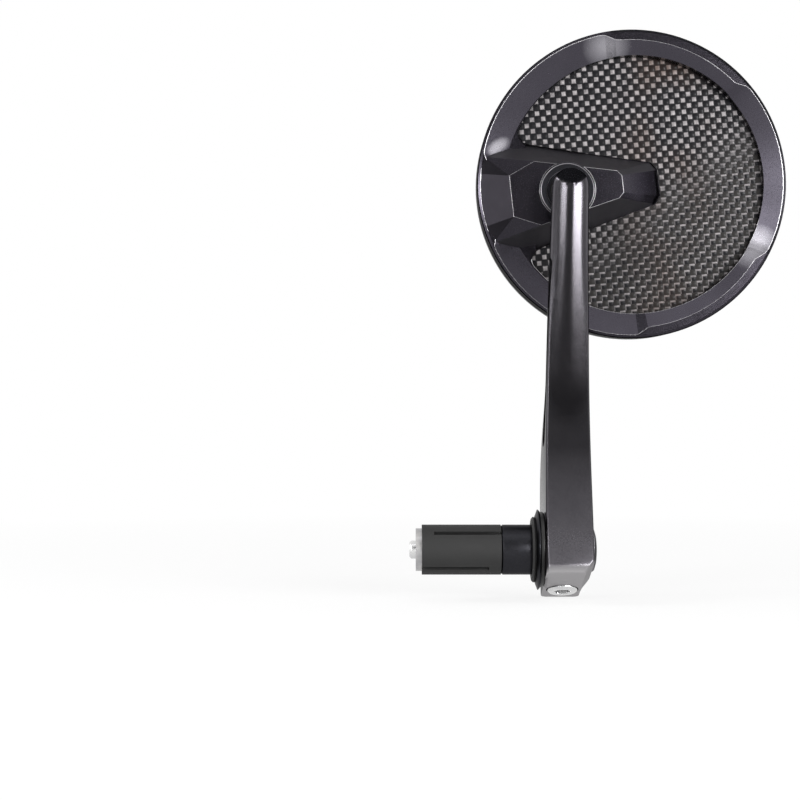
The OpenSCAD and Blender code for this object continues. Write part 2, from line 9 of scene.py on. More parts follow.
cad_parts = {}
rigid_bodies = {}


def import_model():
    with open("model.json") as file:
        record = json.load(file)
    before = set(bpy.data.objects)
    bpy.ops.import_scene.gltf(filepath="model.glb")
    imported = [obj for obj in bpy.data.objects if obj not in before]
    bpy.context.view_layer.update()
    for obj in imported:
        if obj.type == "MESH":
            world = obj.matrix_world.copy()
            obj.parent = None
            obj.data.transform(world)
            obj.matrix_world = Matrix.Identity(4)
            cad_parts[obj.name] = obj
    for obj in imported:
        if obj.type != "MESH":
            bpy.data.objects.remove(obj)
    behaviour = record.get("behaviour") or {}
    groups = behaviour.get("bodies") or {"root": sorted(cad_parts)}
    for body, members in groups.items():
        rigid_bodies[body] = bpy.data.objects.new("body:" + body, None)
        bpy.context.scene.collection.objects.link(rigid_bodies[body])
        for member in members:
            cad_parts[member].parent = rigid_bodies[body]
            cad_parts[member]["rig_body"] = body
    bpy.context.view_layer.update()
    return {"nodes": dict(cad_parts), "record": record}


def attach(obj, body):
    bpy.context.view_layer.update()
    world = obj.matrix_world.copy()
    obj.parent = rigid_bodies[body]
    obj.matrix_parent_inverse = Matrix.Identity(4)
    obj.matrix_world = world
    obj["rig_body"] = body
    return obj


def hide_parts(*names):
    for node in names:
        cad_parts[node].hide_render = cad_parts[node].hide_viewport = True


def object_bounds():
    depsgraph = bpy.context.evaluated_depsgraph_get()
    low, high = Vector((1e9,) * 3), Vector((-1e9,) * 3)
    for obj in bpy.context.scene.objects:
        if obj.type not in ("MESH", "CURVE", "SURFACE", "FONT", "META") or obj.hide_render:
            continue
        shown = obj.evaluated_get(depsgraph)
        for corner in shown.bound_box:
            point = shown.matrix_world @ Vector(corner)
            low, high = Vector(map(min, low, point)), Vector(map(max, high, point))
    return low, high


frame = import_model()
MM = 0.001

# Sizes of the head in millimetres, the same as in the part's source
HEAD_R = 54.3
HEAD_OFFSET = 23.0
HEAD_ROLL = math.radians(6.4)
RING_W = 8.7
RECESS_DEPTH = 7.5
RECESS_SHIFT = 1.5
CORNER_R = 4.0
WEAVE_T = 1.0
BOSS_RISE = 3.5
BOSS_FOOT = [(33.4, 4.6), (31.4, 7.4), (8.5, 13.2), (-12.5, 18.8)]
BALL_DEPTH = 5.6

# Sizes of the arm, its clamp and its pocket
ARM_RISE = 122.8
ARM_LEAN = math.radians(21)
ARM_OUT = 19.7
ARM_SPLAY = 1.7
ARM_GAP = 10.0
TOP_W = 12.3
TOP_DEPTH = 9.0
TOP_BOW = 2.6
TIP_SLOPE = math.radians(42)
FOOT_W = 15.7
FOOT_FRONT = 14.4
FOOT_BACK = 18.6
FOOT_DROP = 11.3
FOOT_TAPER = 3.0
FOOT_BEVEL = 3.0
FOOT_ROUND = 2.5
TAPER_TO = 62
HUB_X = 3.9
FLANGE_D = 26.5
STUB_D = 13.0
FIT = 0.05
CAP_D = 14.6
SLIT_W = 1.5
PINCH_BACK = 8.4
PINCH_X = 10.6
PINCH_D = 6.0
PINCH_HEAD_D = 10.0
PINCH_HEAD_H = 6.0
PINCH_PROUD = 0.9
STUD_D = 5.0
STUD_L = 6.0
LOCK_WASHER_D = 9.4
LOCK_WASHER_T = 1.0
SPOT_DEPTH = 0.3
POCKET_DEPTH = 1.6
POCKET_W = 4.6
POCKET_LOW = 36.0
POCKET_HIGH = 96.0

# Worked out from those
ARM_INNER = ARM_OUT - FOOT_W
BEND_R = ARM_RISE / math.sin(ARM_LEAN)
SWEEP_Y = BEND_R * (1 - math.cos(ARM_LEAN))
ARM_LEN = BEND_R * ARM_LEAN
TIP_LEN = ARM_LEN + TOP_W / 2
BALL = Vector((ARM_OUT + ARM_SPLAY - TOP_W / 2,
               SWEEP_Y + TOP_DEPTH / 2 - SPOT_DEPTH + ARM_GAP + BALL_DEPTH, ARM_RISE))
FACE_Z = BOSS_RISE - BALL_DEPTH
RECESS_R = HEAD_R - RING_W
RECESS_X = HEAD_OFFSET + RECESS_SHIFT


def head_point(x, y, z):
    """The place in the row frame, in metres, of a point of the head.

    In the head's frame x is from the ball, y down and z from the rim face, in millimetres.
    """
    c, s = math.cos(HEAD_ROLL), math.sin(HEAD_ROLL)
    u, v = x * c + y * s, -x * s + y * c
    return Vector((BALL.x + u, BALL.y + z + FACE_Z, BALL.z - v)) * MM


HEAD_MID = head_point(HEAD_OFFSET, 0, 0)

# Materials


class Nodes:
    """A material's node tree with short calls for the nodes that are used here."""

    def __init__(self, name):
        self.mat = bpy.data.materials.new(name)
        self.mat.use_nodes = True
        self.tree = self.mat.node_tree
        self.tree.nodes.clear()
        self.out = self.tree.nodes.new("ShaderNodeOutputMaterial")
        self.shader = self.tree.nodes.new("ShaderNodeBsdfPrincipled")
        self.link(self.shader.outputs[0], self.out.inputs[0])
        source = self.tree.nodes.new("ShaderNodeTexCoord")
        self.place, self.normal = source.outputs["Object"], source.outputs["Normal"]

    def link(self, a, b):
        self.tree.links.new(a, b)

    def put(self, socket, value):
        if isinstance(value, bpy.types.NodeSocket):
            self.link(value, socket)
        else:
            socket.default_value = value

    def noise(self, scale, detail=3.0, rough=0.55, stretch=None):
        n = self.tree.nodes.new("ShaderNodeTexNoise")
        source = self.place
        if stretch:
            mapping = self.tree.nodes.new("ShaderNodeMapping")
            mapping.inputs["Scale"].default_value = stretch
            self.link(source, mapping.inputs[0])
            source = mapping.outputs[0]
        self.link(source, n.inputs["Vector"])
        n.inputs["Scale"].default_value = scale
        n.inputs["Detail"].default_value = detail
        n.inputs["Roughness"].default_value = rough
        return n.outputs["Fac"]

    def math(self, kind, a, b=None):
        n = self.tree.nodes.new("ShaderNodeMath")
        n.operation = kind
        self.put(n.inputs[0], a)
        if b is not None:
            self.put(n.inputs[1], b)
        return n.outputs[0]

    def plus(self, a, b):
        return self.math("ADD", a, b)

    def minus(self, a, b):
        return self.math("SUBTRACT", a, b)

    def times(self, a, b):
        return self.math("MULTIPLY", a, b)

    def vector(self, kind, a, b=None, scale=None):
        n = self.tree.nodes.new("ShaderNodeVectorMath")
        n.operation = kind
        self.put(n.inputs[0], a)
        if b is not None:
            self.put(n.inputs[1], b)
        if scale is not None:
            self.put(n.inputs["Scale"], scale)
        return n.outputs["Value" if kind in ("DISTANCE", "DOT_PRODUCT", "LENGTH") else "Vector"]

    def split(self, vector):
        n = self.tree.nodes.new("ShaderNodeSeparateXYZ")
        self.link(vector, n.inputs[0])
        return n.outputs

    def span(self, value, a, b, c, d):
        """Runs from c to d while the value runs from a to b, and is held past both."""
        n = self.tree.nodes.new("ShaderNodeMapRange")
        for i, v in enumerate((value, a, b, c, d)):
            self.put(n.inputs[i], v)
        return n.outputs[0]

    def mix(self, share, a, b):
        n = self.tree.nodes.new("ShaderNodeMix")
        n.data_type = "RGBA"
        self.put(n.inputs[0], share)
        self.put(n.inputs[6], (*a, 1) if isinstance(a, tuple) else a)
        self.put(n.inputs[7], (*b, 1) if isinstance(b, tuple) else b)
        return n.outputs[2]

    def bump(self, height, distance):
        n = self.tree.nodes.new("ShaderNodeBump")
        n.inputs["Distance"].default_value = distance
        self.link(height, n.inputs["Height"])
        return n.outputs[0]

    def set(self, **values):
        names = {"color": "Base Color", "rough": "Roughness", "metal": "Metallic", "normal": "Normal",
                 "spec": "Specular IOR Level", "coat": "Coat Weight", "coat_rough": "Coat Roughness",
                 "tint": "Specular Tint"}
        for key, value in values.items():
            if isinstance(value, tuple):
                value = (*value, 1)
            self.put(self.shader.inputs[names[key]], value)
        return self.mat


# Scale of the blasted grain, and the colour of the painted highlights
GRAIN = 2600
HIGHLIGHT_PAINT = (0.34, 0.33, 0.36)


def blasted_metal(name, dark, light, rough, height, edge=0.55, painted_highlights=(), foot=None):
    """Blasted and anodised metal: fine grain in its height, sheen and colour, with faint handling marks.

    The places given for highlights get painted highlights, each with how far it reaches. foot is the way
    down along the arm and the colour of the painted floor reflection on the foot's underside.
    """
    m = Nodes(name)
    fine = m.noise(GRAIN, 4, 0.7)
    patch = m.noise(90, 3, 0.6)
    marks = m.noise(260, 5, 0.75, stretch=(1, 1, 0.35))
    tint = m.plus(m.times(fine, 0.7), m.times(patch, 0.3))
    sheen = m.plus(m.span(fine, 0.3, 0.7, rough - 0.07, rough + 0.07),
                   m.span(marks, 0.55, 0.75, 0.0, -0.06))
    color = m.mix(m.span(tint, 0.3, 0.7, 0, 1), dark, light)
    # Painted highlights: the colour turns bright near each given place
    for spot, reach in painted_highlights:
        highlight_reach = m.plus(m.vector("DISTANCE", m.place, spot), m.span(fine, 0.3, 0.7, -0.6 * MM, 0.6 * MM))
        color = m.mix(m.span(highlight_reach, reach * 0.2, reach, 1, 0), color, HIGHLIGHT_PAINT)
    if foot:
        down, painted_under_light = foot
        z = m.split(m.place)["Z"]
        # Front faces are darker over mid height and paler down the foot: painted shade, and a painted
        # reflection of the floor
        front = m.span(m.split(m.normal)["Y"], -0.5, -0.9, 0, 1)
        level = m.plus(m.span(z, 0.06, 0.045, 0, -0.45), m.span(z, 0.034, -0.003, 0, 1.55))
        color = m.vector("SCALE", color, scale=m.plus(1.0, m.times(level, front)))
        # Faces turned down take a pale colour, a painted reflection of the floor
        under = m.span(m.vector("DOT_PRODUCT", m.normal, down), 0.1, 0.95, 0, 1)
        color = m.mix(m.times(under, m.span(z, 0.004, 0.0, 0, 1)), color, painted_under_light)
        sheen = m.plus(sheen, m.span(z, 0.01, -0.002, 0.0, 0.2))
    return m.set(color=color, rough=sheen, metal=1.0, tint=(edge, edge, edge), normal=m.bump(fine, height))


def smooth_black(name, dark, light, rough, spec=0.5):
    """Moulded plastic or rubber with a soft mottle and a fine skin."""
    m = Nodes(name)
    skin = m.noise(1800, 3, 0.6)
    patch = m.noise(140, 4, 0.6)
    return m.set(color=m.mix(patch, dark, light), rough=m.span(patch, 0.3, 0.7, rough - 0.06, rough + 0.08),
                 spec=spec, normal=m.bump(skin, 0.00002))


def turned_steel(name, dark, light, rough, axis):
    """Bright turned metal with fine lines round its axis and faint smears."""
    m = Nodes(name)
    lines = m.noise(700, 3, 0.6, stretch=axis)
    smear = m.noise(220, 4, 0.6)
    return m.set(color=m.mix(m.span(smear, 0.35, 0.7, 0, 1), dark, light), metal=1.0,
                 rough=m.span(smear, 0.3, 0.7, rough - 0.05, rough + 0.09), normal=m.bump(lines, 0.00001))


def on_chamfer(degrees, radius):
    """A place on the shell's chamfer, by its angle up from +X and its distance from the ring's middle."""
    way = Vector((math.cos(math.radians(degrees)), 0, math.sin(math.radians(degrees))))
    return head_point(HEAD_OFFSET, 0, 3) + way * radius * MM


# Painted highlights at the turned ends of the lobes, as angle, distance and reach: two wide ones, and a row
# of small ones
LOBE_END_HIGHLIGHTS = [(on_chamfer(degrees, radius), reach * MM) for degrees, radius, reach in
             ((100, 50, 9), (-27, 49, 9),
              (166, 50.9, 3), (164.3, 49.2, 3), (162.6, 47.3, 3), (161.2, 45.6, 3))]
# The way down the arm's foot, and the colour of the painted floor reflection on its underside
FOOT_DOWN = (0, -math.sin(ARM_LEAN), -math.cos(ARM_LEAN))
FOOT_PAINTED_LIGHT = (0.42, 0.41, 0.42)

SHELL = blasted_metal("shell_anodised", (0.026, 0.024, 0.03), (0.038, 0.035, 0.043), 0.24, 0.000002, 1.0)
# Painted shade: a darker copy of the shell's material for its sides
SIDE_SHADE = blasted_metal("shell_side_painted_shade", (0.01, 0.01, 0.012), (0.018, 0.017, 0.02), 0.36, 0.000002, 0.08)
# Painted light: a lighter copy of the shell's material for the turned chamfer, with painted highlights at
# the lobes' ends
LIT_CHAMFER = blasted_metal("shell_turned_painted_light", (0.054, 0.05, 0.062), (0.072, 0.067, 0.082), 0.3, 0.000004, 0.8,
                    painted_highlights=LOBE_END_HIGHLIGHTS)
# The arm's material also carries painted shade and a painted floor reflection down its foot
ARM = blasted_metal("arm_blasted_painted_foot_light", (0.038, 0.036, 0.041), (0.066, 0.063, 0.069), 0.185, 0.000011,
                    foot=(FOOT_DOWN, FOOT_PAINTED_LIGHT))
# Painted shade: a darker copy of the arm's material for the slope of its round top
TIP_SHADE = blasted_metal("arm_tip_painted_shade", (0.008, 0.008, 0.009), (0.014, 0.014, 0.016), 0.25, 0.000008, 0.1)
# Painted highlights: bright copies of the metal for rounded edges and for the shell's edge beads
EDGE_HIGHLIGHT = blasted_metal("edge_painted_highlight", (0.16, 0.155, 0.165), (0.27, 0.26, 0.28), 0.36, 0.000003)
GLINT = blasted_metal("edge_glint_painted", (0.44, 0.43, 0.45), (0.6, 0.59, 0.61), 0.34, 0.000003)
# Painted shade: a darker copy of the shell's material for the bare ramp beside the boss
BARE_SHADE = blasted_metal("bare_face_painted_shade", (0.011, 0.01, 0.012), (0.016, 0.015, 0.018), 0.45, 0.000002)
BLACK = blasted_metal("stub_anodised", (0.02, 0.02, 0.023), (0.035, 0.035, 0.04), 0.34, 0.000005)
# Painted shade: a darker, duller copy of the shell's material for the boss's upper and lower flanks
FLANK_SHADE = smooth_black("boss_flank_painted_shade", (0.013, 0.012, 0.014), (0.02, 0.019, 0.022), 0.45, 0.3)
PLASTIC = smooth_black("nylon", (0.006, 0.006, 0.006), (0.012, 0.012, 0.012), 0.4, 0.35)
RUBBER = smooth_black("rubber", (0.008, 0.008, 0.008), (0.016, 0.016, 0.016), 0.7, 0.3)
STEEL = turned_steel("bright_steel", (0.55, 0.55, 0.56), (0.75, 0.75, 0.74), 0.24, (6, 6, 1))
ZINC = turned_steel("zinc_plate", (0.36, 0.36, 0.37), (0.52, 0.51, 0.5), 0.34, (3, 3, 3))


def mirror_material():
    m = Nodes("silvered_glass")
    haze = m.noise(60, 4, 0.6)
    return m.set(color=m.mix(haze, (0.82, 0.84, 0.85), (0.88, 0.9, 0.9)), metal=1.0,
                 rough=m.span(haze, 0.45, 0.8, 0.012, 0.05), coat=0.6, coat_rough=0.02)


# The tow's pitch along the bar and upwards in millimetres, the weave's turn, and the way to its far side
TOW_U, TOW_V = 2.0, 2.04
WEAVE_TURN = HEAD_ROLL - math.radians(1.2)
FAR_X, FAR_Z = 0.6, -0.8


def weave_material():
    """Plain weave under clear resin.

    The tows' shine is painted into the colour. At the upper left the tows of one way shine as squares. At
    the far side, the lower right, only their upper edges do, as dashes with dimmer risers between them.
    """
    m = Nodes("plain_weave")
    c, s = math.cos(WEAVE_TURN), math.sin(WEAVE_TURN)
    place = m.split(m.place)
    x, z = place["X"], place["Z"]
    wobble = m.times(m.minus(m.noise(120, 2, 0.5), 0.5), 0.3 * MM)
    along = m.plus(m.times(x, c), m.times(z, s))
    up = m.minus(m.times(z, c), m.times(x, s))
    u = m.times(m.plus(along, wobble), 1 / (TOW_U * MM))
    v = m.times(m.minus(up, wobble), 1 / (TOW_V * MM))
    wave_u, wave_v = (m.math("SINE", m.times(k, math.pi)) for k in (u, v))
    check = m.times(wave_u, wave_v)
    least = m.math("MINIMUM", m.math("ABSOLUTE", wave_u), m.math("ABSOLUTE", wave_v))

    # Painted reflection: the tows' shine turns from squares to dashes towards the far side
    side = m.plus(m.times(m.minus(x, HEAD_MID.x), FAR_X), m.times(m.minus(z, HEAD_MID.z), FAR_Z))
    ragged = m.times(m.minus(m.noise(30, 2), 0.5), 0.02)
    far = m.span(m.plus(side, ragged), 0.0, 0.018, 0, 1)
    square = m.times(m.span(least, 0.22, 0.6, 0, 1), m.span(check, 0.0, 0.05, 0, 1))
    dash = m.span(m.math("FRACT", v), 0.62, 0.78, 0, 0.85)
    riser = m.times(m.span(m.math("FRACT", u), 0.08, 0.22, 1, 0), m.span(side, 0.0, 0.035, 0.15, 0.7))
    line = m.times(m.span(check, -0.02, 0.03, 0, 1), m.math("MAXIMUM", dash, riser))
    painted_shine = m.plus(m.times(square, m.minus(1, far)), m.times(line, far))

    filament_u = m.noise(1, 2, 0.6, stretch=(9000, 9000, 700))
    filament_v = m.noise(1, 2, 0.6, stretch=(700, 9000, 9000))
    tow_tint = m.noise(500, 1, 0.5)
    light = m.mix(m.span(tow_tint, 0.35, 0.65, 0, 1), (0.14, 0.13, 0.135), (0.29, 0.27, 0.275))
    light = m.mix(m.span(filament_u, 0.35, 0.65, 0, 0.4), light, (0.05, 0.046, 0.044))
    dark = m.mix(m.span(filament_v, 0.4, 0.7, 0, 1), (0.0015, 0.0015, 0.0025), (0.006, 0.0055, 0.007))
    # Painted light: the dark cells of the far side are lifted a little
    dark = m.mix(m.times(m.span(check, -0.1, 0.05, 1, 0), far), dark, (0.016, 0.0145, 0.014))
    # A ragged band of brown, a little right of the middle
    band = m.math("ABSOLUTE", m.minus(x, HEAD_MID.x + 0.014))
    brown = m.times(m.span(band, 0.005, 0.02, 1, 0), m.span(m.noise(34, 2, 0.5), 0.38, 0.56, 0, 0.6))
    dark, light = m.mix(brown, dark, (0.012, 0.006, 0.004)), m.mix(brown, light, (0.085, 0.05, 0.035))
    return m.set(color=m.mix(painted_shine, dark, light), rough=m.span(painted_shine, 0, 1, 0.45, 0.36), spec=0.12,
                 coat=0.06, coat_rough=0.08, normal=m.bump(m.math("ABSOLUTE", check), 0.00003))


MIRROR = mirror_material()
WEAVE = weave_material()

# Pieces

slots = {s["node"]: s["material_slot"] for s in frame["record"]["subparts"]}
by_slot = {"black_metal": BLACK, "arm_black": ARM, "shell_black": SHELL, "carbon": WEAVE, "mirror": MIRROR,
           "rubber": RUBBER, "dark_plastic": PLASTIC, "steel": STEEL, "zinc": ZINC}
for name, obj in frame["nodes"].items():
    obj.data.materials.clear()
    obj.data.materials.append(by_slot[slots[name]])


def link(name, mesh, material):
    obj = bpy.data.objects.new(name, mesh)
    bpy.context.scene.collection.objects.link(obj)
    mesh.materials.clear()
    mesh.materials.append(material)
    return obj


def stand_in(obj, node):
    """Puts a piece in the place of a CAD node, with its body."""
    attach(obj, frame["nodes"][node]["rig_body"])
    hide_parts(node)


def apply_modifiers(obj):
    bpy.context.view_layer.update()
    done = bpy.data.meshes.new_from_object(obj.evaluated_get(bpy.context.evaluated_depsgraph_get()))
    obj.modifiers.clear()
    obj.data = done


def smooth(obj, degrees):
    """Smooth shading, with edges sharper than this angle kept crisp."""
    bm = bmesh.new()
    bm.from_mesh(obj.data)
    for f in bm.faces:
        f.smooth = True
    for e in bm.edges:
        e.smooth = len(e.link_faces) == 2 and e.calc_face_angle(0) < math.radians(degrees)
    bm.to_mesh(obj.data)
    bm.free()


def mesh_from(name, points, faces, material):
    mesh = bpy.data.meshes.new(name)
    mesh.from_pydata([tuple(p) for p in points], [], faces)
    obj = link(name, mesh, material)
    bm = bmesh.new()
    bm.from_mesh(mesh)
    bmesh.ops.recalc_face_normals(bm, faces=bm.faces)
    bm.to_mesh(mesh)
    bm.free()
    return obj


def cut(obj, tool, kind="DIFFERENCE"):
    """Boolean of obj with tool, which is used up."""
    mod = obj.modifiers.new("cut", "BOOLEAN")
    mod.operation, mod.solver, mod.object = kind, "EXACT", tool
    apply_modifiers(obj)
    bpy.data.objects.remove(tool)


# Limits for meshes: points welded, faces taken as flat, and edges that carry a bead, in metres and radians
WELD = 2e-6
FLAT = math.radians(0.4)
SHARP = 0.1
SHORTEST = 3e-5


def rounded_copy(node, material, width, segments=3, degrees=28, edge=None):
    """A copy of a CAD node that stands for it, with rounded edges. edge is a material for those alone,
    which here paints highlights on them.
    """
    mesh = frame["nodes"][node].data.copy()
    mesh.name = node + "_rounded"
    obj = link(node + "_rounded", mesh, material)
    bm = bmesh.new()
    bm.from_mesh(mesh)
    bmesh.ops.remove_doubles(bm, verts=bm.verts, dist=WELD)
    bmesh.ops.dissolve_limit(bm, angle_limit=FLAT, verts=bm.verts, edges=bm.edges)
    bm.to_mesh(mesh)
    bm.free()
    if width:
        mod = obj.modifiers.new("round", "BEVEL")
        mod.width, mod.segments, mod.limit_method = width * MM, segments, "ANGLE"
        mod.angle_limit = math.radians(degrees)
        mod.use_clamp_overlap = not edge
        if edge:
            obj.data.materials.append(edge)
            mod.material = 1
        apply_modifiers(obj)
    smooth(obj, degrees)
    stand_in(obj, node)
    return obj


def edge_beads(obj, radius_at, material, sides=8, lap=0.3, sink=0.75):
    """Thin round beads along the sharp outer edges of the face that is seen, in a bright material that
    paints highlights on them.

    radius_at gives a bead's radius in millimetres from its edge's ends and its angle, or 0 for no bead.
    lap and sink are shares of it: how far a bead runs past its edge's ends, and how deep its middle lies.
    """
    obj.data.materials.append(material)
    slot = len(obj.data.materials) - 1
    bm = bmesh.new()
    bm.from_mesh(obj.data)
    beads = []
    for e in bm.edges:
        if len(e.link_faces) == 2 and e.calc_face_angle_signed(0) > SHARP:
            out = e.link_faces[0].normal + e.link_faces[1].normal
            a, b = (v.co for v in e.verts)
            r = radius_at(a, b, math.degrees(e.calc_face_angle_signed(0))) * MM
            if r and out.y < -0.2 and (b - a).length > SHORTEST:
                beads.append((a.copy(), b.copy(), out.normalized(), r))
    for a, b, out, r in beads:
        way = (b - a).normalized()
        across = way.cross(out)
        turns = [2 * math.pi * k / sides for k in range(sides)]
        first, last = ([bm.verts.new(end - out * r * sink + (out * math.cos(t) + across * math.sin(t)) * r)
                        for t in turns] for end in (a - way * r * lap, b + way * r * lap))
        faces = [bm.faces.new((first[k], first[(k + 1) % sides], last[(k + 1) % sides], last[k]))
                 for k in range(sides)]
        faces += [bm.faces.new(first[::-1]), bm.faces.new(last)]
        for f in faces:
            f.material_index, f.smooth = slot, len(f.verts) == 4
    bm.to_mesh(obj.data)
    bm.free()


for node, width in {"glass_bezel": 0.2, "mount_stub": 0.15, "pinch_screw": 0.2, "bar_bolt": 0.2,
                    "friction_washer": 0.15, "mirror_glass": 0.3}.items():
    rounded_copy(node, by_slot[slots[node]], width)
# The ring's and cap's rounded edges take painted highlights
rounded_copy("retaining_ring", BLACK, 0.18, segments=2, degrees=20, edge=EDGE_HIGHLIGHT)
rounded_copy("end_cap", BLACK, 0.25, degrees=30, edge=EDGE_HIGHLIGHT)

# The shell, whose turned chamfer and lobes, sides, boss flanks and bare ramp take lighter and darker copies
# of its material as painted light and shade
shell = rounded_copy("head_shell", SHELL, 0, degrees=12)
PLATEAU_Y, RIM_Y = head_point(0, 0, -BOSS_RISE).y, head_point(0, 0, 0).y
SAME_PLANE = 0.4 * MM

# Radii of beads in millimetres, the least angle of an edge that has one, and two distances on the ring
PLATEAU_BEAD, PLATEAU_LEFT_BEAD, LIT_BEAD, RIM_BEAD, RECESS_BEAD = 0.08, 0.042, 0.13, 0.06, 0.07
BEAD_MIN_DEGREES = 24
RIM_EDGE = 53.8 * MM
RECESS_EDGE = 43.5 * MM


def ring_way(place):
    """The way from the ring's middle to a place, in the photo's plane, and its degrees up from +X."""
    way = Vector((place.x - HEAD_MID.x, 0, place.z - HEAD_MID.z))
    return way, math.degrees(math.atan2(way.z, way.x))


def in_plane(a, b, y):
    return max(abs(a.y - y), abs(b.y - y)) < SAME_PLANE


def bead_radius(a, b, degrees):
    """Beads lie round the boss's flat top, and on the edges of rim and recess that catch the light."""
    mid = (a + b) / 2
    way, angle = ring_way(mid)
    if in_plane(a, b, PLATEAU_Y):
        return PLATEAU_BEAD if mid.x > BALL.x * MM else PLATEAU_LEFT_BEAD
    if degrees < BEAD_MIN_DEGREES or way.length > RIM_EDGE:
        return 0
    if in_plane(a, b, RIM_Y):
        return LIT_BEAD if angle > 95 or -35 < angle < 60 else RIM_BEAD
    if way.length > RECESS_EDGE and mid.y > RIM_Y + 1.5 * MM:
        return RECESS_BEAD if angle < -15 or angle > 165 else 0
    return 0


# Bright beads on the shell's edges, as painted highlights
edge_beads(shell, bead_radius, GLINT)
# Lit and shaded copies of the shell's material: painted light on the chamfer, painted shade on the bare
# ramp, sides and boss flanks
for shaded_or_lit_copy in (LIT_CHAMFER, BARE_SHADE, SIDE_SHADE, FLANK_SHADE):
    shell.data.materials.append(shaded_or_lit_copy)
SHELL_SLOT, BEAD_SLOT, LIT_CHAMFER_SLOT, BARE_SHADE_SLOT, SIDE_SHADE_SLOT, FLANK_SHADE_SLOT = range(6)
boss_way = (head_point(0, 0, 0) - HEAD_MID).normalized()

# Where each lit and shaded copy lies, in millimetres from the ring's middle, and the least area of the bare
# ramp's faces
CUT_FROM, CUT_TO, SIDE_FROM, FLANK_TO = 34, 53.5, 50, 45
BARE_AREA = 2e-6


def shell_slot(f):
    """Which lit or shaded copy of the shell's material a face takes, as painted light and shade, by its
    place on the ring and the way it faces.
    """
    way, angle = ring_way(f.center)
    reach, outward, back = way.length / MM, f.normal.dot(way.normalized()), -f.normal.y
    if CUT_FROM < reach < CUT_TO and back >= 0.5:
        if outward < -0.3:
            return LIT_CHAMFER_SLOT
        if f.normal.dot(boss_way) > 0.25 and f.area > BARE_AREA:
            return BARE_SHADE_SLOT
    if reach > SIDE_FROM and (back < 0.55 or outward > 0.1 and -28 < angle < 98):
        return SIDE_SHADE_SLOT
    if reach < FLANK_TO and -0.1 < back < 0.9 and abs(f.normal.z) > 0.45:
        return FLANK_SHADE_SLOT
    return SHELL_SLOT


for f in shell.data.polygons:
    if f.material_index != BEAD_SLOT:
        f.material_index = shell_slot(f)

# Arm

# How the arm's section changes along its length, in millimetres
BAR_SWELL = 0.9
LOW_BOW = 0.35
BOW_FROM, BOW_RUN = 30, ARM_LEN - 45
HEEL_FROM, HEEL_RUN = 20, 40
TOP_EDGE, FOOT_EDGE, BACK_EDGE = 0.8, 1.2, 1.6
BACK_ROUND = 0.3
TIP_START = ARM_LEN + 0.4
THIN = 3.0
LEAST_HALF_W = 0.2
BOW_POINTS = 24


def mix(a, b, t):
    return a + (b - a) * t


def ease(t):
    """Runs smoothly from 0 to 1 while t does, and is held past both."""
    c = min(1, max(0, t))
    return c * c * (3 - 2 * c)


def foot_share(s):
    """Share of the foot's shape that is left at a length s along the arm."""
    return 1 - ease((s + FOOT_DROP) / (TAPER_TO + FOOT_DROP))


def half_w(s):
    """Half the arm's width, which closes in a half circle at the top."""
    if s > ARM_LEN:
        return math.sqrt(max(LEAST_HALF_W ** 2, (TOP_W / 2) ** 2 - (s - ARM_LEN) ** 2))
    return mix(TOP_W, FOOT_W, (1 - max(0, s) / TIP_LEN) ** 0.9) / 2


def centre_x(s):
    """The middle of the arm's width, whose outboard side splays upwards in a straight line."""
    c = max(0, min(s, ARM_LEN))
    return ARM_OUT + ARM_SPLAY * c / ARM_LEN - half_w(c)


def lean(s):
    """The arm's angle from upright at a length s, which ends at 0 on the bend's upper end."""
    return ARM_LEAN * (1 - min(ARM_LEN, max(0, s)) / ARM_LEN)


def line_yz(s):
    """The arm's centre line at a length s."""
    if s < 0:
        return s * math.sin(ARM_LEAN), s * math.cos(ARM_LEAN)
    return (BEND_R * (math.cos(lean(s)) - math.cos(ARM_LEAN)),
            BEND_R * (math.sin(ARM_LEAN) - math.sin(lean(s))) + max(0, s - ARM_LEN))


def fillet(points, radii, steps=3):
    """A closed outline with each corner replaced by the same number of points of an arc."""
    out = []
    n = len(points)
    for i, (p, r) in enumerate(zip(points, radii)):
        if not r:
            out.append(p)
            continue
        p = Vector(p)
        a, b = Vector(points[i - 1]) - p, Vector(points[(i + 1) % n]) - p
        reach = min(r, a.length * 0.45, b.length * 0.45)
        a, b = p + a.normalized() * reach, p + b.normalized() * reach
        for k in range(steps + 1):
            q = k / steps
            out.append(tuple((1 - q) ** 2 * a + 2 * q * (1 - q) * p + q * q * b))
    return out


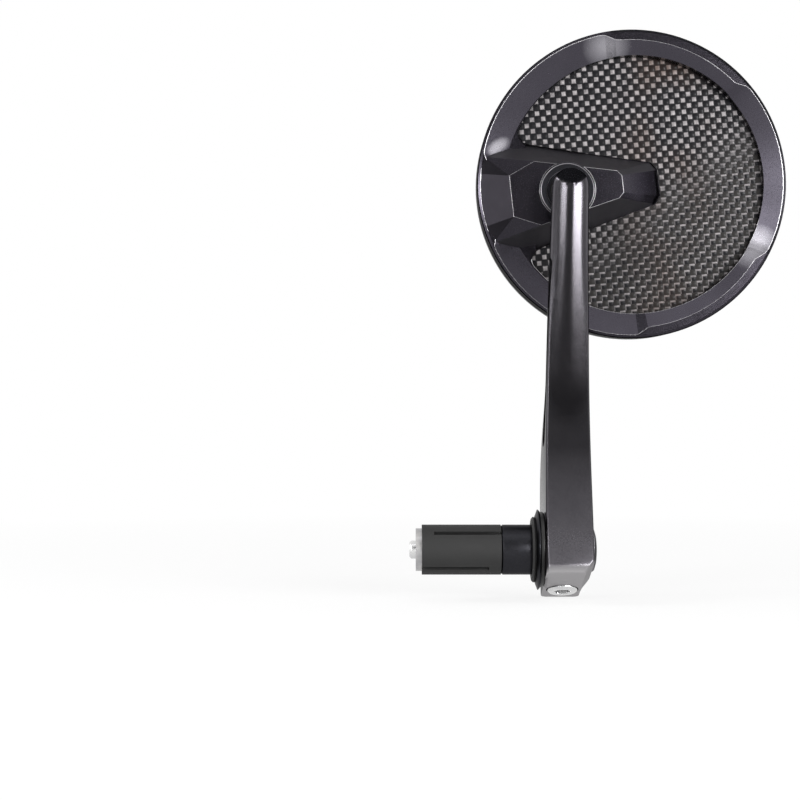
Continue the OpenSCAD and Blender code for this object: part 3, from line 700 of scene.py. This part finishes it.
def arm_section(s):
    """One section of the arm, as [x, distance behind its centre line]: bowed front, sides and back."""
    share, w, drop = foot_share(s), half_w(s), s + FOOT_DROP
    thin = min(1, w / THIN)
    edge = 0
    if drop < FOOT_ROUND:
        edge = FOOT_ROUND - math.sqrt(max(0, FOOT_ROUND ** 2 - (FOOT_ROUND - drop) ** 2))
    depth = TOP_DEPTH / 2 + BAR_SWELL * (1 - s / TIP_LEN)
    front = mix(depth, FOOT_FRONT, share ** 1.25) - edge
    back = mix(depth, FOOT_BACK, share ** 1.6) - 0.5 * edge
    tip = max(0, s - TIP_START) * math.tan(TIP_SLOPE)
    bow = mix(LOW_BOW, TOP_BOW, ease((s - BOW_FROM) / BOW_RUN)) * w / (TOP_W / 2)
    front_edge, back_edge = mix(TOP_EDGE, FOOT_EDGE, share) * thin, BACK_EDGE * thin
    front_w = w - 0.55 * front_edge
    waist = min(CAP_D / 2 + 0.4, back - back_edge - 0.5)
    heel = (centre_x(s) - w - ARM_INNER) * (1 - ease((s - HEEL_FROM) / HEEL_RUN))
    under = CAP_D / 2 + 0.3
    bevel = FOOT_BEVEL * min(1, max(0, -s - under) / (FOOT_DROP - under)) ** 1.2
    right, left = w - max(bevel, FOOT_TAPER * share ** 2), w + heel
    points, radii = [], []
    for i in range(BOW_POINTS + 1):
        u = -1 + 2 * i / BOW_POINTS
        points.append((u * front_w - bevel * (1 + u) / 2, -max(front - max(bow * u * u, tip), 1 - back)))
        radii.append(0.35 if i in (0, BOW_POINTS) else 0)
    low = -max(front - max(bow, tip) - front_edge, 0.9 - back)
    points += [(w - bevel, low), (w - bevel, waist), (right, back - back_edge),
               (right - BACK_ROUND * back_edge, back - BACK_ROUND * back_edge), (right - back_edge, back),
               (-left + back_edge, back), (-left + BACK_ROUND * back_edge, back - BACK_ROUND * back_edge),
               (-left, back - back_edge), (-w, low)]
    radii += [0.3, 0.6] + [0.3] * 7
    return fillet(points, [r * thin for r in radii])


def loft(name, rings, material):
    """A closed solid through rings of points, with both its ends capped."""
    n = len(rings[0])
    faces = [[i * n + j, i * n + (j + 1) % n, (i + 1) * n + (j + 1) % n, (i + 1) * n + j]
             for i in range(len(rings) - 1) for j in range(n)]
    faces += [list(range(n))[::-1], [(len(rings) - 1) * n + j for j in range(n)]]
    return mesh_from(name, [p for ring in rings for p in ring], faces, material)


def arm_ring(s):
    y, z = line_yz(s)
    a = lean(s)
    return [Vector((centre_x(s) + x, y + d * math.cos(a), z - d * math.sin(a))) * MM
            for x, d in arm_section(s)]


def turned(name, profile, place, material, segments=96):
    """A closed solid turned about z, from [radius, z] in millimetres, then placed by a matrix in metres."""
    rings = []
    for k in range(segments):
        a = 2 * math.pi * k / segments
        rings.append([place @ (Vector((r * math.cos(a), r * math.sin(a), z)) * MM) for r, z in profile])
    n = len(profile)
    faces = []
    for k in range(segments):
        this, after = k * n, (k + 1) % segments * n
        faces += [[this + j, this + (j + 1) % n, after + (j + 1) % n, after + j] for j in range(n)]
    obj = mesh_from(name, [p for ring in rings for p in ring], faces, material)
    bm = bmesh.new()
    bm.from_mesh(obj.data)
    bmesh.ops.remove_doubles(bm, verts=bm.verts, dist=1e-7)
    bmesh.ops.recalc_face_normals(bm, faces=bm.faces)
    bm.to_mesh(obj.data)
    bm.free()
    return obj


def rod(name, r, z0, z1, place, material):
    return turned(name, [(0, z0), (r, z0), (r, z1), (0, z1)], place, material)


def block(name, low, high, place, material):
    corners = [place @ (Vector((x, y, z)) * MM) for x in (low[0], high[0]) for y in (low[1], high[1])
               for z in (low[2], high[2])]
    return mesh_from(name, corners, [(0, 1, 3, 2), (4, 6, 7, 5), (0, 4, 5, 1), (2, 3, 7, 6), (0, 2, 6, 4),
                                     (1, 5, 7, 3)], material)


def pocket_tool(side_steps=30, end_steps=13):
    """The lightening pocket: a slot with round ends that follows the arm's bend."""
    mid_y, mid_z, half = -BEND_R * math.cos(ARM_LEAN), ARM_RISE, POCKET_W / 2
    floor_x = centre_x(POCKET_HIGH) - half_w(POCKET_HIGH) + POCKET_DEPTH
    low, high = (math.asin(math.sin(ARM_LEAN) - z / BEND_R) for z in (POCKET_LOW, POCKET_HIGH))

    def at(radius, angle):
        return mid_y + radius * math.cos(angle), mid_z - radius * math.sin(angle)

    def end(angle, start):
        y, z = at(BEND_R, angle)
        turns = [start + math.pi * (i + 1) / end_steps - angle for i in range(end_steps - 1)]
        return [(y + half * math.cos(t), z + half * math.sin(t)) for t in turns]

    sides = [i / side_steps for i in range(side_steps + 1)]
    places = [at(BEND_R + half, mix(low, high, t)) for t in sides] + end(high, 0)
    places += [at(BEND_R - half, mix(high, low, t)) for t in sides] + end(low, math.pi)
    n = len(places)
    points = [Vector((x, y, z)) * MM for x in (0, floor_x) for y, z in places]
    faces = [(j, (j + 1) % n, n + (j + 1) % n, n + j) for j in range(n)]
    return mesh_from("pocket", points, faces + [tuple(range(n))[::-1], tuple(range(n, 2 * n))], ARM)


ALONG_X = Matrix.Rotation(math.radians(90), 4, "Y")
AT_FOOT = Matrix.Rotation(-ARM_LEAN, 4, "X")
AT_PINCH = AT_FOOT @ Matrix.Translation(Vector((PINCH_X, PINCH_BACK, 0)) * MM)
AT_BALL = Matrix.Translation(BALL * MM) @ Matrix.Rotation(math.radians(-90), 4, "X")
OVER = 0.5

# Sections lie close together over the foot's round edge and bevel and over the arm's round top
BEVEL_END = -6
TIP_REACH = TOP_W / 2 - 0.45
LOW_STEPS, LONG_STEPS, TIP_STEPS = 8, 106, 30
quarter = [math.pi / 2 * i / LOW_STEPS for i in range(LOW_STEPS + 1)]
lengths = [-FOOT_DROP + FOOT_ROUND * (1 - math.cos(a)) for a in quarter]
lengths += [mix(-FOOT_DROP + FOOT_ROUND, BEVEL_END, (i + 1) / LOW_STEPS) for i in range(LOW_STEPS)]
lengths += [mix(BEVEL_END, TIP_START, (i + 1) / LONG_STEPS) for i in range(LONG_STEPS)]
lengths += [TIP_START + TIP_REACH * math.sin(math.pi / 2 * (i + 1) / TIP_STEPS) for i in range(TIP_STEPS)]
arm = loft("swept_arm", [arm_ring(s) for s in lengths], ARM)

hub_end, flange_r = ARM_INNER + 0.8, FLANGE_D / 2
cut(arm, turned("hub", [(0, HUB_X), (flange_r - 1.2, HUB_X), (flange_r - 0.4, hub_end), (0, hub_end)],
                ALONG_X, ARM), "UNION")
cut(arm, rod("bore", STUB_D / 2 + FIT, 0, ARM_OUT + OVER, ALONG_X, ARM))
cut(arm, rod("cap_spot", (CAP_D + OVER) / 2, ARM_OUT, ARM_OUT + 2, ALONG_X, ARM))
cut(arm, block("slit", (0, 0, -SLIT_W / 2), (ARM_OUT + OVER, FOOT_BACK + 1, SLIT_W / 2), AT_FOOT, ARM))

# The pinch screw's hole: room for the head, then clear of the thread up to the slit, then tapped
head_r, clear_r, tapped_r = PINCH_HEAD_D / 2 + 0.35, PINCH_D / 2 + 0.15, PINCH_D / 2
foot_end, head_end, tapped_end = -FOOT_DROP - 1, -FOOT_DROP - PINCH_PROUD + PINCH_HEAD_H, 11
cut(arm, turned("counterbore", [(0, foot_end), (head_r, foot_end), (head_r, head_end), (clear_r, head_end),
                                (clear_r, SLIT_W / 2), (tapped_r, SLIT_W / 2), (tapped_r, tapped_end),
                                (0, tapped_end)], AT_PINCH, ARM))

# The ball stud's hole and the spot for its lock washer
arm_face = -BALL_DEPTH - ARM_GAP
hole_end, washer_end = arm_face - STUD_L - OVER, arm_face + LOCK_WASHER_T
stud_r, washer_r = STUD_D / 2, (LOCK_WASHER_D + OVER) / 2
cut(arm, turned("stud_hole", [(0, hole_end), (stud_r, hole_end), (stud_r, arm_face), (washer_r, arm_face),
                              (washer_r, washer_end), (0, washer_end)], AT_BALL, ARM))
cut(arm, pocket_tool())
smooth(arm, 24)

# The slope on the arm's round top is darker: painted shade, in a darker copy of the arm's material
arm.data.materials.append(TIP_SHADE)
TIP_Z = (ARM_RISE + 0.4) * MM
for f in arm.data.polygons:
    if f.center.z > TIP_Z and f.normal.z > 0.3 and f.normal.y < -0.2:
        f.material_index = 1
stand_in(arm, "arm")

# Woven panel

# Where the recess's straight side beside the boss runs out to, past its rounded corner
HEEL_END = Vector((-26, 20))
CORNER_STEPS = 16
ARC_STEPS = 150


def recess_outline(inset):
    """The recess as [x, y] in the head's frame: a circle less the boss, with its two corners rounded."""
    radius = RECESS_R - inset
    way = (Vector(BOSS_FOOT[-1]) - HEEL_END).normalized()
    normal = Vector((-way.y, way.x))
    # The corner's centre, one corner radius off the straight side and inside the circle
    base = HEEL_END + normal * (inset + CORNER_R)
    rel = base - Vector((RECESS_X, 0))
    along = way.dot(rel)
    t = -along - math.sqrt(along ** 2 - rel.length_squared + (radius - CORNER_R) ** 2)
    corner = base + way * t
    start = math.atan2(corner.y, corner.x - RECESS_X)
    (x0, y0), (x1, y1), (x2, y2), (x3, y3) = BOSS_FOOT
    half = [(x0 + inset, y0), (x1 + inset * 0.5, y1 + inset), (x2, y2 + inset), (x3, y3 + inset),
            tuple(corner - normal * CORNER_R)]
    for i in range(1, CORNER_STEPS):
        a = mix(math.atan2(way.y, way.x) - math.pi / 2, start - 2 * math.pi, i / CORNER_STEPS)
        half.append((corner.x + CORNER_R * math.cos(a), corner.y + CORNER_R * math.sin(a)))
    for i in range(ARC_STEPS + 1):
        a = mix(start, 0, i / ARC_STEPS)
        half.append((RECESS_X + radius * math.cos(a), radius * math.sin(a)))
    return half + [(x, -y) for x, y in reversed(half[:-1])]


def weave_height(x, z):
    """Height of the tows over their lowest line, 0 to 1, from a place in the row frame in metres."""
    c, s = math.cos(WEAVE_TURN), math.sin(WEAVE_TURN)
    u, v = (x * c + z * s) / (TOW_U * MM), (z * c - x * s) / (TOW_V * MM)
    return abs(math.sin(math.pi * u) * math.sin(math.pi * v)) ** 0.6


def woven_panel(cell=0.4, relief=0.14, gap=0.12, margin=0.35, lower=0.01):
    """The carbon panel: its face stands in the pillows of a plain weave, inside the recess.

    In millimetres, cell is the mesh's grid, which stays a margin inside the ring, relief is the height of
    the tows, gap is the room round the panel, and lower is how far its face lies under the source's.
    """
    corners = recess_outline(gap)
    outline = []
    for a, b in zip(corners, corners[1:] + corners[:1]):
        a, b = Vector(a), Vector(b)
        n = max(1, math.ceil((b - a).length / cell))
        outline += [a.lerp(b, i / n) for i in range(n)]
    inner = []
    k = math.ceil(RECESS_R / cell)
    for i in range(-k, k + 1):
        for j in range(-k, k + 1):
            x, y = i * cell, (j + 0.5 * (i % 2)) * cell
            if math.hypot(x, y) < RECESS_R - margin:
                inner.append(Vector((RECESS_X + x, y)))
    rim = len(outline)
    places, _, triangles = delaunay_2d_cdt(outline + inner, [], [list(range(rim))], 1, 1e-6)[:3]
    points = []
    for p in places:
        flat = head_point(p.x, p.y, 0)
        sunk = relief * (1 - weave_height(flat.x, flat.z))
        points.append(head_point(p.x, p.y, RECESS_DEPTH + lower + sunk))
    first = len(points)
    points += [head_point(p.x, p.y, RECESS_DEPTH + WEAVE_T - lower / 2) for p in outline]
    faces = [tuple(f) for f in triangles]
    faces += [(i, (i + 1) % rim, first + (i + 1) % rim, first + i) for i in range(rim)]
    return mesh_from("woven_panel", points, faces + [tuple(range(first, first + rim))], WEAVE)


panel = woven_panel()
smooth(panel, 70)
stand_in(panel, "weave_panel")

# Stage


def softbox(name, azimuth, elevation, distance, width, height, radiance):
    """A soft light aimed at the part. Azimuth 0 is in front of the head's back, and 90 is towards +X."""
    a, e = math.radians(azimuth), math.radians(elevation)
    aim = Vector((0.03, 0.03, 0.1))
    way = Vector((math.sin(a) * math.cos(e), -math.cos(a) * math.cos(e), math.sin(e)))
    lamp = bpy.data.lights.new(name, "AREA")
    lamp.shape = "RECTANGLE"
    lamp.size, lamp.size_y = width, height
    lamp.energy = radiance * math.pi * width * height
    obj = bpy.data.objects.new(name, lamp)
    obj.location = aim + way * distance
    obj.rotation_euler = (-way).to_track_quat("-Z", "Y").to_euler()
    obj.visible_camera = False
    bpy.context.scene.collection.objects.link(obj)


for name, azimuth, elevation, distance, width, height, radiance in (
        ("right_strip", 39, 6, 0.95, 0.76, 0.16, 32), ("left_strip", -39, 5, 0.95, 0.44, 0.12, 38),
        ("overhead", 0, 66, 1.1, 1.1, 0.3, 0.8), ("left_high", -72, 25, 1.0, 0.3, 0.22, 14),
        ("left_side", -100, 5, 1.1, 0.7, 0.9, 1.2), ("right_side", 100, 5, 1.1, 0.7, 0.9, 1.2)):
    softbox(name, azimuth, elevation, distance, width, height, radiance)

# World: plain white for the camera and for reflections, and softer for all other light
WHITE = (1, 1, 1, 1)
SKY_LEVEL = 0.4
world = bpy.data.worlds.new("studio")
bpy.context.scene.world = world
world.use_nodes = True
tree = world.node_tree
sky = tree.nodes["Background"]
sky.inputs[0].default_value = WHITE
sky.inputs[1].default_value = SKY_LEVEL
white = tree.nodes.new("ShaderNodeBackground")
white.inputs[0].default_value = WHITE
path = tree.nodes.new("ShaderNodeLightPath")
clear, seen = tree.nodes.new("ShaderNodeMath"), tree.nodes.new("ShaderNodeMath")
clear.operation = seen.operation = "MAXIMUM"
blend = tree.nodes.new("ShaderNodeMixShader")
for source, socket in ((path.outputs["Is Glossy Ray"], clear.inputs[0]),
                       (path.outputs["Is Transmission Ray"], clear.inputs[1]),
                       (path.outputs["Is Camera Ray"], seen.inputs[0]), (clear.outputs[0], seen.inputs[1]),
                       (seen.outputs[0], blend.inputs[0]), (sky.outputs[0], blend.inputs[1]),
                       (white.outputs[0], blend.inputs[2]),
                       (blend.outputs[0], tree.nodes["World Output"].inputs[0])):
    tree.links.new(source, socket)

# Pale floor, which glows for the camera and in reflections, so that only the shadows near the part stay
FLOOR_HALF = 6
FLOOR_GAP = 0.5 * MM
GLOW_FROM, GLOW_FULL = 0.08, 0.5
floor_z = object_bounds()[0].z - FLOOR_GAP
m = Nodes("pale_floor")
m.set(color=m.mix(m.noise(3, 2), (0.9, 0.9, 0.9), (0.94, 0.94, 0.94)), rough=0.9, spec=0.1)
glow = m.tree.nodes.new("ShaderNodeEmission")
path = m.tree.nodes.new("ShaderNodeLightPath")
blend = m.tree.nodes.new("ShaderNodeMixShader")
direct = m.math("MAXIMUM", path.outputs["Is Camera Ray"], path.outputs["Is Glossy Ray"])
glowing = m.span(m.vector("LENGTH", m.place), GLOW_FROM, GLOW_FULL, 0.8, 1.0)
for source, socket in ((m.times(direct, glowing), blend.inputs[0]), (m.shader.outputs[0], blend.inputs[1]),
                       (glow.outputs[0], blend.inputs[2]), (blend.outputs[0], m.out.inputs[0])):
    m.link(source, socket)
floor = mesh_from("floor", [(x * FLOOR_HALF, y * FLOOR_HALF, floor_z) for x, y in
                            ((-1, -1), (1, -1), (1, 1), (-1, 1))], [(0, 1, 2, 3)], m.mat)

# Grey card in front of the part, unseen by the camera, which keeps its flat faces dark
CARD_HALF, CARD_Y, CARD_LOW, CARD_HIGH = 2.4, -1.25, -0.016, 1.1
card = mesh_from("grey_card", [(-CARD_HALF, CARD_Y, CARD_LOW), (CARD_HALF, CARD_Y, CARD_LOW),
                               (CARD_HALF, CARD_Y, CARD_HIGH), (-CARD_HALF, CARD_Y, CARD_HIGH)],
                 [(0, 1, 2, 3)], smooth_black("card", (0.4, 0.4, 0.4), (0.46, 0.46, 0.46), 0.8, 0.1))
card.visible_camera = False

# Camera, level and square to the bar, at the place in metres from which the photo's perspective is seen
CAMERA_AT = (-0.0433, -0.644, 0.0494)
SENSOR_MM = 36
FOCAL_PX, PHOTO_PX = 1950, 800
camera = bpy.data.objects.new("camera", bpy.data.cameras.new("camera"))
bpy.context.scene.collection.objects.link(camera)
camera.data.sensor_width = SENSOR_MM
camera.data.lens = FOCAL_PX * SENSOR_MM / PHOTO_PX
camera.data.clip_start, camera.data.clip_end = 0.01, 50
camera.location = CAMERA_AT
camera.rotation_euler = (math.radians(90), 0, 0)
bpy.context.scene.camera = camera
bpy.context.scene.view_settings.view_transform = "Standard"
